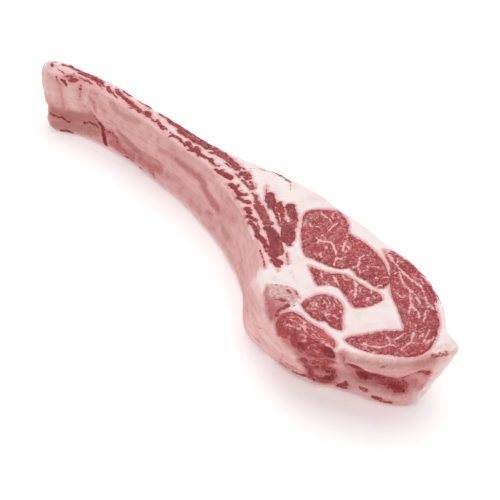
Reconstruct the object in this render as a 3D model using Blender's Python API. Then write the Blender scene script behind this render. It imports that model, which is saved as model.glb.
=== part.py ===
"""Raw tomahawk steak: one thick rib steak on its long curved rib, lying on a cut face.

The steak is drawn as a top outline and a foot outline, and lofted between them.
Bone, muscles and fat are then cut from that one body, so that they fit each other
with a hairline gap, and each of them runs through the steak as the real one does.
Lengths in the tables are millimetres; the model is built in metres, +Z up.
The origin is the middle of the outline's box, on the face that the steak rests on.
"""

import math

import bmesh
import bpy
from mathutils import Matrix, Vector
from mathutils.geometry import interpolate_bezier

MM = 0.001
THICKNESS = 50.0      # from the lower cut face to the upper one
GAP = 0.3             # hairline between a muscle and the fat round it
OVERCUT = 6.0         # how far a cutter stands out of the faces it cuts
SPAN_STEPS = 2        # facets between two points of the steak's outline
MUSCLE_STEPS = 2      # facets between two points of a muscle's outline

# Wall profiles: how far the side stands out of the straight line from its foot to its top edge
LEVELS = (0.0, 2.0, 8.0, 17.0, 27.0, 37.0, 44.0, 48.0, 50.0)
PROFILES = {
    "tip": (0.0, 2.0, 3.8, 2.0, 4.0, 5.0, 4.0, 2.2, 0.0),
    "rib": (0.0, 1.6, 2.4, -0.8, 1.8, 3.2, 2.2, 1.2, 0.0),
    "chine": (0.0, 1.5, 4.0, 6.6, 9.5, 9.8, 7.7, 4.2, 0.0),
    "groove": (0.0, 2.2, 4.8, 4.6, -2.0, 0.8, 3.2, 2.2, 0.0),
    "corner": (0.0, 0.8, 1.2, 2.6, 3.8, 4.2, 3.6, 2.4, 0.0),
    "outer": (0.0, 1.8, 3.5, 4.0, 4.0, 3.8, 3.0, 1.8, 0.0),
}

# The steak's outline from the rib's tip, along the rib's inner side, round the eye and back:
# top x, top y, foot x, foot y, wall
OUTLINE = (
    (-228, -44, -207, -51, "tip"),
    (-226, -50.5, -205, -58, "tip"),
    (-214, -51.5, -197, -60.5, "tip"),
    (-198, -46, -186, -50.5, "rib"),
    (-180, -36.5, -172, -41.5, "rib"),
    (-160, -28.5, -156, -35.5, "rib"),
    (-138, -23.5, -137, -28.5, "rib"),
    (-113, -19, -113, -24, "rib"),
    (-88, -14.5, -89, -21, "rib"),
    (-62, -10, -63, -17.5, "rib"),
    (-36, -6, -35, -17.5, "rib"),
    (-10, -4.5, -7, -19, "rib"),
    (16, -8.5, 21, -23, "rib"),
    (40, -16, 43, -28, "rib"),
    (62, -25, 63, -36, "rib"),
    (79, -32.5, 80, -47, "rib"),
    (92, -37.5, 93, -54, "chine"),
    (106, -41.5, 108, -54.5, "chine"),
    (123, -45, 124, -52.5, "chine"),
    (140, -47, 140, -49.5, "chine"),
    (157, -46.5, 154, -44.5, "chine"),
    (173, -42.5, 167, -37.5, "groove"),
    (187, -34.5, 179, -27, "groove"),
    (199, -26, 191, -18.5, "groove"),
    (209, -15.5, 201, -13.5, "groove"),
    (217, -4, 211, -6, "groove"),
    (221.5, 7, 217.5, 2.5, "groove"),
    (223.5, 19, 220, 9, "corner"),
    (225.5, 30, 218, 15.5, "corner"),
    (226.5, 38, 210, 20.5, "corner"),
    (218, 40.5, 204, 25, "outer"),
    (209, 41.5, 197, 29, "outer"),
    (198, 48.5, 186, 35.5, "outer"),
    (182, 56.5, 172, 43, "outer"),
    (162, 61.5, 154, 50, "outer"),
    (139, 63, 132, 53.5, "outer"),
    (116, 59, 110, 51, "outer"),
    (90, 57, 85, 49.5, "outer"),
    (66, 52, 61, 45.5, "outer"),
    (42, 49.5, 37, 43, "outer"),
    (18, 43, 13, 37, "outer"),
    (-5, 34, -10, 28.5, "outer"),
    (-26, 24, -30, 19, "outer"),
    (-48, 14, -50, 9, "outer"),
    (-75, 6.5, -76, 1.5, "outer"),
    (-104, 0.5, -103, -5, "outer"),
    (-135, -8, -132, -13, "outer"),
    (-163, -13.5, -158, -20, "outer"),
    (-188, -22.5, -180, -29, "outer"),
    (-208, -31, -196, -38, "tip"),
    (-221, -37, -204, -44, "tip"),
)
RIB_STATIONS = range(3, 16)      # where the wall is the rib's inner face
GROOVE_STATIONS = range(21, 28)  # where a muscle lies open in the wall's groove

# Muscles that show on the cut face, each an outline on the top face
MUSCLES = {
    "eye_muscle": (
        (59, 20), (51, 27), (51, 36), (57, 45), (63, 51), (71, 51), (81, 48), (88, 43), (103, 47), (124, 47),
        (144, 40), (150, 33), (148, 26), (137, 24), (129, 21), (119, 21), (117, 15), (109, 9), (96, 4), (90, 1),
        (78, 6), (67, 13),
    ),
    "lower_eye_muscle": (
        (100, -3), (110, -6), (121, -9), (124, -4), (133, 2), (151, 0), (156, 2), (160, 11), (160, 21), (154, 24),
        (146, 21), (136, 18), (124, 15), (117, 7), (108, 1),
    ),
    "cap_muscle": (
        (117, 54), (127, 57), (142, 59), (164, 56), (183, 51), (198, 44), (208, 35), (216, 24), (219, 12),
        (215, 2), (206, -8), (199, -16), (190, -22), (179, -25), (176, -22), (180, -11), (183, -4), (185, 4),
        (192, 15), (188, 19), (173, 25), (157, 31), (144, 40), (132, 48),
    ),
    "round_muscle": (
        (131, -31), (129, -20), (130, -12), (138, -6), (145, -5), (151, -7), (157, -12), (164, -17), (169, -21),
        (162, -25), (155, -26), (152, -30), (142, -32),
    ),
    "chine_muscle": (
        (131, -50), (133, -42), (138.5, -37.5), (146, -36.5), (152, -34.5), (160, -32), (169, -31), (176, -31),
        (181, -36), (184, -47), (186, -60), (178, -68), (167, -67), (163, -56), (153, -54.5), (140, -53.5),
    ),
    "wedge_muscle": (
        (37, 24), (44, 25), (53, 21), (61, 14), (68, 7), (74, 0), (74, -4), (70, -4), (62, -1), (53, 4),
        (45, 8), (36, 12), (33, 17), (40, 18),
    ),
    "small_wedge_muscle": ((20, 14), (17, 19), (22, 18), (30, 13), (35, 9), (33, 7), (26, 9)),
    "rib_head_bone": (
        (104, -40), (104, -34), (110, -28.5), (118, -25), (125, -28), (129, -34), (130, -42), (126, -49),
        (115, -50), (107, -47),
    ),
}
LEAN = (-5.0, -5.5)    # from the top face to the foot
TAPER = 0.82           # size at the foot against the top

# Relief of the upper cut face: muscles swell from their edge, the fat between them waves a little
EDGE_DROP = 0.4
CROWN = 1.5
CROWN_REACH = 4.0
CROWN_CELL = 8.0
FAT_WAVE = 0.6
FAT_CELL = 12.0

# The flat muscle outside the rib: centre line and half width on the top face
OUTER_STRIP = (
    (-160, -17.5, 1.2), (-143, -12.0, 1.6), (-119, -7.0, 1.8), (-90, -0.5, 2.0), (-65, 5.0, 2.4), (-42, 10.0, 2.9),
    (-22, 12.5, 3.2), (-4, 10.5, 2.8), (14, 6.5, 3.0), (34, 0.5, 3.8), (54, -5.5, 4.4), (74, -13.5, 4.6),
    (86, -20.0, 3.4),
)

# The rib, and the muscle that lies along its upper and its lower edge: depth from the wall and height
RIB_DEPTHS = ((-2.0, 5.0), (5.0, 6.0), (10.0, 12.0), (11.3, 26.0), (9.8, 34.0), (7.5, 38.0))
STRIP_CENTRE = (11.0, 8.0, 5.0, 4.6, 5.2, 4.4, 4.8, 5.2, 4.6, 4.8, 4.2, 5.6, 6.5)   # at each rib station
STRIP_HALF_WIDTH = 2.1
UPPER_STRIP_Z = (39.0, THICKNESS + OVERCUT)
LOWER_STRIP_Z = (-OVERCUT, 9.0)

# The muscle in the groove, under the rim of fat: height of its lower and upper lip at each groove station
GROOVE_LIPS = ((25.0, 34.0), (21.0, 37.0), (19.0, 37.0), (19.0, 34.0), (20.0, 34.0), (22.0, 35.0), (25.0, 34.0))
GROOVE_DEPTH = 8.0
GROOVE_COVER = 4.0    # fat between the muscle and the wall below the groove
MUSCLES_BESIDE_GROOVE = ("cap_muscle", "chine_muscle")

COLOURS = {
    "fat": (0.86, 0.76, 0.72),
    "bone": (0.72, 0.43, 0.40),
    "muscle": (0.46, 0.09, 0.10),
}


def clear_scene():
    for ob in list(bpy.data.objects):
        bpy.data.objects.remove(ob)


def make_collection(name):
    found = bpy.data.collections.get(name) or bpy.data.collections.new(name)
    if found.name not in bpy.context.scene.collection.children:
        bpy.context.scene.collection.children.link(found)
    return found


def make_material(name, colour, roughness):
    material = bpy.data.materials.new(name)
    material.use_nodes = True
    shader = material.node_tree.nodes["Principled BSDF"]
    shader.inputs["Base Color"].default_value = (*colour, 1.0)
    shader.inputs["Roughness"].default_value = roughness
    shader.inputs["Metallic"].default_value = 0.0
    return material


def smooth_closed(points, steps):
    """Points of a closed curve that passes through all the given ones."""
    curve = []
    count = len(points)
    for i in range(count):
        before, start, end, after = (Vector(points[(i + k) % count]) for k in (-1, 0, 1, 2))
        handle_a = start + (end - before) / 6
        handle_b = end - (after - start) / 6
        curve += [Vector(p) for p in interpolate_bezier(start, handle_a, handle_b, end, steps + 1)[:-1]]
    return curve


def smooth_open(points, steps):
    """Points of an open curve that passes through all the given ones."""
    curve = []
    last = len(points) - 1
    for i in range(last):
        before, start, end, after = (Vector(points[min(max(i + k, 0), last)]) for k in (-1, 0, 1, 2))
        handle_a = start + (end - before) / 6
        handle_b = end - (after - start) / 6
        curve += [Vector(p) for p in interpolate_bezier(start, handle_a, handle_b, end, steps + 1)[:-1]]
    return [*curve, Vector(points[last])]


def side_normal(before, after):
    """Unit vector to the right of the way from before to after, in plan."""
    way = (after - before).normalized()
    return Vector((way.y, -way.x, 0.0))


def grown(points, amount):
    """A closed plan outline, counter-clockwise, moved outwards by an amount."""
    count = len(points)
    return [p + side_normal(points[i - 1], points[(i + 1) % count]) * amount for i, p in enumerate(points)]


def counter_clockwise(points):
    area = sum(p.x * q.y - q.x * p.y for p, q in zip(points, [*points[1:], points[0]]))
    return points if area > 0 else points[::-1]


def distance_to(outline, x, y):
    """Distance in plan from a place to a closed outline."""
    place = Vector((x, y))
    nearest = math.inf
    for a, b in zip(outline, [*outline[1:], outline[0]]):
        start, way = a.xy, b.xy - a.xy
        share = min(max((place - start).dot(way) / max(way.length_squared, 1e-9), 0.0), 1.0)
        nearest = min(nearest, (start + way * share - place).length)
    return nearest


def swell_top(bm, outline, cell, height):
    """Cuts the top face into cells and lifts the places inside it by height(x, y, distance from the edge)."""
    level = max(v.co.z for v in bm.verts)

    def top_faces():
        return [f for f in bm.faces if all(level - v.co.z < 0.01 * MM for v in f.verts)]

    for axis in range(2):
        places = [v.co[axis] / MM for f in top_faces() for v in f.verts]
        for k in range(math.ceil(min(places) / cell), math.floor(max(places) / cell) + 1):
            place, direction = Vector(), Vector()
            place[axis] = k * cell * MM
            direction[axis] = 1.0
            faces = top_faces()
            edges = dict.fromkeys(e for f in faces for e in f.edges)
            corners = dict.fromkeys(v for f in faces for v in f.verts)
            bmesh.ops.bisect_plane(bm, geom=[*faces, *edges, *corners], dist=0.001 * MM, plane_co=place,
                                   plane_no=direction)
    faces = top_faces()
    bmesh.ops.triangulate(bm, faces=faces)
    for v in bm.verts:
        if level - v.co.z < 0.01 * MM:
            x, y = v.co.x / MM, v.co.y / MM
            away = distance_to(outline, x, y)
            if away > 0.05:
                v.co.z += height(x, y, away) * MM


def crown(x, y, away):
    return CROWN * (1 - math.exp(-away / CROWN_REACH))


def waves(x, y, away):
    rise = math.sin(x / 9.0 + 1.7 * math.sin(y / 13.0)) + 0.6 * math.sin(y / 6.5 - x / 21.0)
    return FAT_WAVE * (rise - 0.4) * min(away / 9.0, 1.0)


def loft(name, rings, cell=0.0, height=None):
    """A closed solid through rings of equally many points, given from the bottom up."""
    bm = bmesh.new()
    rows = [[bm.verts.new(p * MM) for p in ring] for ring in rings]
    for low, high in zip(rows, rows[1:]):
        for i in range(len(low)):
            j = (i + 1) % len(low)
            side = (low[i], low[j], high[j], high[i])
            across = (side[1].co - side[0].co).cross(side[2].co - side[0].co).normalized()
            if abs(across.dot(side[3].co - side[0].co)) < 0.001 * MM:
                bm.faces.new(side)
            else:
                bm.faces.new(side[:3])
                bm.faces.new((side[0], *side[2:]))
    bm.faces.new(rows[0][::-1])
    bm.faces.new(rows[-1])
    if height:
        swell_top(bm, rings[-1], cell, height)
    bmesh.ops.recalc_face_normals(bm, faces=bm.faces)
    mesh = bpy.data.meshes.new(name)
    bm.to_mesh(mesh)
    bm.free()
    return bpy.data.objects.new(name, mesh)


def wall_rings():
    """The steak's outline at each level, from the face it rests on to the upper cut face."""
    top = smooth_closed([(s[0], s[1], THICKNESS) for s in OUTLINE], SPAN_STEPS)
    foot = smooth_closed([(s[2], s[3], 0.0) for s in OUTLINE], SPAN_STEPS)
    count = len(top)
    rings = []
    for k, z in enumerate(LEVELS):
        share = z / THICKNESS
        line = [foot[i].lerp(top[i], share) for i in range(count)]
        ring = []
        for i, point in enumerate(line):
            station, step = divmod(i, SPAN_STEPS)
            here = PROFILES[OUTLINE[station][4]][k]
            following = PROFILES[OUTLINE[(station + 1) % len(OUTLINE)][4]][k]
            outset = here + (following - here) * step / SPAN_STEPS
            ring.append(point + side_normal(line[i - 1], line[(i + 1) % count]) * outset)
        rings.append(ring)
    return rings


def wall_point(rings, place, z):
    """The wall's point at one place of the outline and any height; straight up beyond the faces."""
    i = math.floor(place)
    level = min(max(z, LEVELS[0]), LEVELS[-1])
    k = min(max(n for n, height in enumerate(LEVELS) if height <= level), len(LEVELS) - 2)
    share = (level - LEVELS[k]) / (LEVELS[k + 1] - LEVELS[k])
    low, high = (ring[i].lerp(ring[i + 1], place - i) for ring in rings[k:k + 2])
    point = low.lerp(high, share)
    point.z = z
    return point


def at_station(values, station, stations):
    """A value between the ones given for each of the stations."""
    i = min(int(station) - stations[0], len(values) - 2)
    return values[i] + (values[i + 1] - values[i]) * (station - stations[0] - i)


def wall_band(name, rings, section, stations, offset, extend=0.0, grow=0.0):
    """A solid along the wall. section(station) lists its corners as depth from the wall and height."""
    middle = rings[len(LEVELS) // 2]
    slices = []
    for i in range(stations[0] * SPAN_STEPS, stations[-1] * SPAN_STEPS):
        inward = -side_normal(middle[i], middle[i + 1])
        corners = section((i + offset) / SPAN_STEPS)
        slices.append([wall_point(rings, i + offset, z) + inward * depth for depth, z in corners])
    for end, beside, amount in ((0, 1, extend or grow), (-1, -2, grow)):
        way = slices[end][0] - slices[beside][0]
        way.z = 0.0
        shift = way.normalized() * amount
        if amount == extend and amount:
            slices.insert(0, [p + shift for p in slices[0]])
        else:
            slices[end] = [p + shift for p in slices[end]]
    return loft(name, slices)


def prism(name, outline, lean, taper, low, high, height=None):
    """A solid through the steak with that outline on the top face, shifted and tapered towards the foot."""
    middle = sum(outline, Vector()) / len(outline)

    def ring(points, z):
        share = 1 - z / THICKNESS
        shift = Vector((lean[0] * share, lean[1] * share, z))
        return [middle + (p - middle) * (1 - (1 - taper) * share) + shift for p in points]

    return loft(name, [ring(outline, low), ring(outline, high)], CROWN_CELL, height)


def strip_outline(path):
    """Closed outline of a tapering strip, from its centre line and half widths."""
    centre = smooth_open([(x, y, 0.0) for x, y, _ in path], MUSCLE_STEPS)
    widths = smooth_open([(w, 0.0, 0.0) for _, _, w in path], MUSCLE_STEPS)
    right, left = [], []
    for i, point in enumerate(centre):
        side = side_normal(centre[max(i - 1, 0)], centre[min(i + 1, len(centre) - 1)])
        right.append(point + side * widths[i].x)
        left.append(point - side * widths[i].x)
    return right + left[::-1]


def rib_section(grow):
    """Corners of the rib and the skin above it, from outside its inner face to its outer one."""

    def section(station):
        crest = at_station(STRIP_CENTRE, station, RIB_STATIONS) + grow
        (toe, heel), *rest = RIB_DEPTHS
        corners = [(toe, heel - grow)] + [(depth + grow, z - (grow if z < 20 else 0.0)) for depth, z in rest]
        corners += [(crest + 0.5, UPPER_STRIP_Z[0] + 2.0), (crest, THICKNESS + OVERCUT)]
        return corners + [(-12.0, THICKNESS + OVERCUT), (-12.0, heel - grow)]

    return section


def strip_section(heights, grow):
    """Corners of a strip of muscle that lies on the rib's edge."""
    low = heights[0] - (grow if heights[0] > 0 else 0.0)
    high = heights[1] + (grow if heights[1] < THICKNESS else 0.0)

    def section(station):
        centre, half = at_station(STRIP_CENTRE, station, RIB_STATIONS), STRIP_HALF_WIDTH + grow
        return [(centre + half, low), (centre + half, high), (centre - half, high), (centre - half, low)]

    return section


def groove_section(grow):
    """Corners of the muscle that lies open in the groove and runs down inside the wall's foot."""

    def section(station):
        low = at_station([lips[0] for lips in GROOVE_LIPS], station, GROOVE_STATIONS) - grow
        high = at_station([lips[1] for lips in GROOVE_LIPS], station, GROOVE_STATIONS) + grow
        cover, depth = GROOVE_COVER - grow, GROOVE_DEPTH + grow
        inside = [(depth, -OVERCUT), (depth - 2.0, high)]
        return [*inside, (-8.0, high - 0.5), (-8.0, low), (cover, low - 2.0), (cover, -OVERCUT)]

    return section


def combine(ob, other, operation):
    """Applies one Boolean of ob with other, and removes other."""
    cutters = make_collection("Cutters")
    cutters.objects.link(other)
    other.hide_render = True
    other.display_type = "WIRE"
    modifier = ob.modifiers.new(operation.title(), "BOOLEAN")
    modifier.operation = operation
    modifier.solver = "EXACT"
    modifier.object = other
    bpy.context.view_layer.update()
    mesh = bpy.data.meshes.new_from_object(ob.evaluated_get(bpy.context.evaluated_depsgraph_get()))
    ob.modifiers.clear()
    ob.data = mesh
    bpy.data.objects.remove(other)


def finish_piece(ob, material):
    ob.data.materials.clear()
    ob.data.materials.append(material)
    ob.data.shade_smooth()
    ob.data.set_sharp_from_angle(angle=math.radians(35))


def centre_steak(pieces):
    """Moves the pieces so that the middle of their common box stands over the origin."""
    corners = [v.co for piece in pieces for v in piece.data.vertices]
    middle = [(min(c[k] for c in corners) + max(c[k] for c in corners)) / 2 for k in range(2)]
    for piece in pieces:
        piece.data.transform(Matrix.Translation((-middle[0], -middle[1], 0.0)))


def main():
    clear_scene()
    steak = make_collection("Tomahawk steak")
    fat_material = make_material("beef fat", COLOURS["fat"], 0.45)
    bone_material = make_material("rib under its skin", COLOURS["bone"], 0.4)
    muscle_material = make_material("raw lean", COLOURS["muscle"], 0.4)

    rings = wall_rings()
    lidless = [*rings, [Vector((p.x, p.y, p.z + OVERCUT)) for p in rings[-1]]]

    def body(name, tall=False, height=None):
        ob = loft(name, lidless if tall else rings, FAT_CELL, height)
        steak.objects.link(ob)
        return ob

    fat = body("fat", height=waves)

    under = body("under_muscle")
    combine(under, wall_band("inside", rings, groove_section(0.0), GROOVE_STATIONS, 0.4), "INTERSECT")
    combine(fat, wall_band("pocket", rings, groove_section(GAP), GROOVE_STATIONS, 0.4, grow=GAP), "DIFFERENCE")
    finish_piece(under, muscle_material)

    for name, points in MUSCLES.items():
        outline = counter_clockwise(smooth_closed([(x, y, 0.0) for x, y in points], MUSCLE_STEPS))
        muscle = body(name, tall=True)
        inside = prism("inside", outline, LEAN, TAPER, -OVERCUT, THICKNESS - EDGE_DROP, crown)
        combine(muscle, inside, "INTERSECT")
        if name in MUSCLES_BESIDE_GROOVE:
            pocket = wall_band("pocket", rings, groove_section(GAP), GROOVE_STATIONS, 0.4, grow=GAP)
            combine(muscle, pocket, "DIFFERENCE")
        pocket = prism("pocket", grown(outline, GAP), LEAN, TAPER, -OVERCUT, THICKNESS + OVERCUT)
        combine(fat, pocket, "DIFFERENCE")
        finish_piece(muscle, bone_material if name.endswith("bone") else muscle_material)

    outline = counter_clockwise(strip_outline(OUTER_STRIP))
    outer_strip = body("outer_rib_muscle", tall=True)
    inside = prism("inside", outline, LEAN, 1.0, -OVERCUT, THICKNESS - EDGE_DROP, crown)
    combine(outer_strip, inside, "INTERSECT")
    pocket = prism("pocket", grown(outline, GAP), LEAN, 1.0, -OVERCUT, THICKNESS + OVERCUT)
    combine(fat, pocket, "DIFFERENCE")
    finish_piece(outer_strip, muscle_material)

    rib = body("rib_bone")
    combine(rib, wall_band("inside", rings, rib_section(0.0), RIB_STATIONS, 0.5, extend=60.0), "INTERSECT")
    pocket = wall_band("pocket", rings, rib_section(GAP), RIB_STATIONS, 0.5, extend=60.0, grow=GAP)
    combine(fat, pocket, "DIFFERENCE")
    for name, heights in (("upper_rib_muscle", UPPER_STRIP_Z), ("lower_rib_muscle", LOWER_STRIP_Z)):
        strip = body(name)
        stretch = RIB_STATIONS[:-1]
        combine(strip, wall_band("inside", rings, strip_section(heights, 0.0), stretch, 0.2), "INTERSECT")
        for other in (fat, rib):
            pocket = wall_band("pocket", rings, strip_section(heights, GAP), stretch, 0.2, grow=GAP)
            combine(other, pocket, "DIFFERENCE")
        finish_piece(strip, muscle_material)
    finish_piece(rib, bone_material)
    finish_piece(fat, fat_material)
    centre_steak(steak.objects)


main()
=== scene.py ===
import math

import bmesh
import bpy
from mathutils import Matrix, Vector, noise
from mathutils.bvhtree import BVHTree
from mathutils.kdtree import KDTree


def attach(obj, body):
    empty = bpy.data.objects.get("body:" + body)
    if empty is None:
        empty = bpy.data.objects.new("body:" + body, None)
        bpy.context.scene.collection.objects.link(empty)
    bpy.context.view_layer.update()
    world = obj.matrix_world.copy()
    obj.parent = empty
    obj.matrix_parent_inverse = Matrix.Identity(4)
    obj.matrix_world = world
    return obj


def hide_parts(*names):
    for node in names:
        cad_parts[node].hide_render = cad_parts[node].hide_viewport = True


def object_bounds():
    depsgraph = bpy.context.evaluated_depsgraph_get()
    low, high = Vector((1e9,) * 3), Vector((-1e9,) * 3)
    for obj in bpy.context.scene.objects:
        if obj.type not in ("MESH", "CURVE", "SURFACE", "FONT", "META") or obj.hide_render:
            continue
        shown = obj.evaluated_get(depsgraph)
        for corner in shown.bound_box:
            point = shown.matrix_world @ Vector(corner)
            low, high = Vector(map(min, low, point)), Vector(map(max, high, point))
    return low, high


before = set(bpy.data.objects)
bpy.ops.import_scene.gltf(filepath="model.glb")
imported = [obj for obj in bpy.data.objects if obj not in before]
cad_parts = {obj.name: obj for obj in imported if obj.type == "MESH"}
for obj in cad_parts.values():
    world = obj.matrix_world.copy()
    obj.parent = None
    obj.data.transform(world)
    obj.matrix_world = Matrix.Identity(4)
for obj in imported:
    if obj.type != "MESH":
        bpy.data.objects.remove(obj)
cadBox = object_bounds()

noiseSeed = 7
noise.seed_set(noiseSeed)  # noise_vector would follow the clock otherwise

# Raw tomahawk steak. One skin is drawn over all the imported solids, gets its relief, and is then cut
# into one closed piece for each solid. Lengths are metres unless a note says millimetres.
mm = 0.001
fatNode = "fat"
boneNodes = ("rib_bone", "rib_head_bone")

# Camera. Its picture is taken as 500 by 500.
cameraView = {
    "aimAt": (0.04183, -0.01761, 0.026),
    "distance": 1.3,
    "turn": 57.0,      # degrees round the steak, from its rib side
    "rise": 43.0,      # degrees above the floor
    "lens": 121.68,
    "sensor": 36.0,
    "picture": 500.0,
    "clipStart": 0.05,
    "clipEnd": 50.0,
}


def makeCamera(view):
    turn, rise = math.radians(view["turn"]), math.radians(view["rise"])
    way = Vector((math.sin(turn) * math.cos(rise), -math.cos(turn) * math.cos(rise), math.sin(rise)))
    lens = bpy.data.cameras.new("studioCamera")
    lens.lens = view["lens"]
    lens.sensor_width = view["sensor"]
    lens.clip_start = view["clipStart"]
    lens.clip_end = view["clipEnd"]
    camera = bpy.data.objects.new("studioCamera", lens)
    camera.location = Vector(view["aimAt"]) + way * view["distance"]
    camera.rotation_euler = (-way).to_track_quat("-Z", "Y").to_euler()
    bpy.context.scene.collection.objects.link(camera)
    bpy.context.scene.camera = camera
    bpy.context.view_layer.update()
    return camera


def towards(camera, view, across, down):
    # way from the camera through a place of its picture
    half = view["picture"] / 2
    reach = view["sensor"] / 2 / view["lens"]
    way = Vector(((across - half) / half * reach, (half - down) / half * reach, -1.0))
    return (camera.matrix_world.to_3x3() @ way).normalized()


camera = makeCamera(cameraView)
print("camera in place")

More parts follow.
